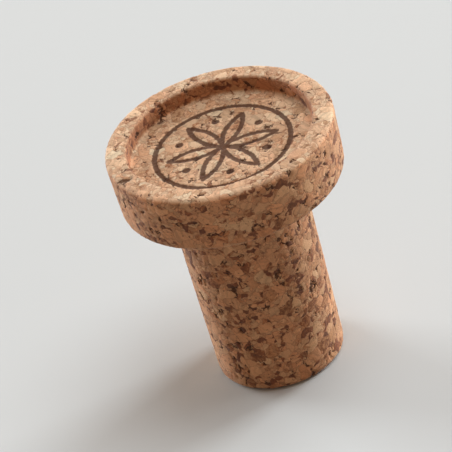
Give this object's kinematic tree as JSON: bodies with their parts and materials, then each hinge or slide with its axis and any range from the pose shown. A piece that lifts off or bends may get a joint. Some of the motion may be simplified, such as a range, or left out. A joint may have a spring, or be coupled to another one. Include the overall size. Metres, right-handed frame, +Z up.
{
  "type": "cork stopper",
  "caption": "Pressed-cork bottle stopper with a slightly tapered plug under a wider round head that has a shallow round recess in its top.",
  "frame": {"origin": "centre of the plug's flat end face, on which the stopper stands", "axes": "+Z up the stopper's axis, from the plug's end to the head's top; X and Y are free, because the stopper is round"},
  "size_m": [0.032, 0.032, 0.038],
  "materials": {
    "pressed_cork": "matte"
  },
  "bodies": {
    "root": {"cork_stopper": "pressed_cork"}
  },
  "joints": []
}
